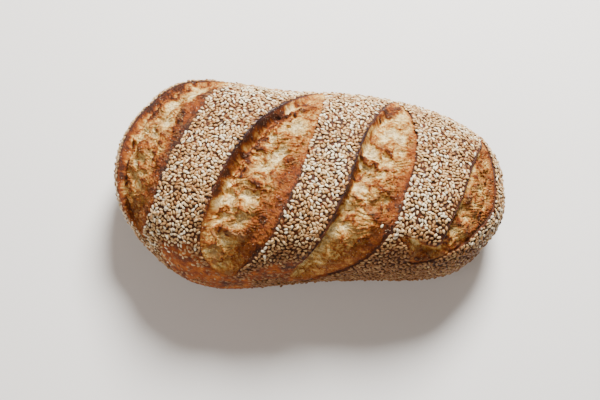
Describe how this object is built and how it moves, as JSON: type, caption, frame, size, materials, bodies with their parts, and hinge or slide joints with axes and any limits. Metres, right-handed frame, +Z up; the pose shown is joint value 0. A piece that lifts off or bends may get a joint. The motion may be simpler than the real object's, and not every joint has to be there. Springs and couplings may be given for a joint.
{
  "type": "sesame spelt bread",
  "caption": "Hand-shaped batard loaf with slanting slashes torn open in the oven and a crust rolled in sesame seeds, resting on its flat sole.",
  "frame": {"origin": "on the flat sole, below the middle of the loaf's box", "axes": "+X along the loaf to its narrower end, +Y to its back, +Z up"},
  "size_m": [0.2686, 0.1464, 0.0914],
  "materials": {
    "crust": "matt baked crust, golden to reddish brown",
    "crumb": "matt torn crumb, cream with toasted ridges",
    "sesame": "satin sesame hulls, ivory to toasted gold"
  },
  "bodies": {
    "root": {"loaf": "crust"}
  },
  "joints": []
}
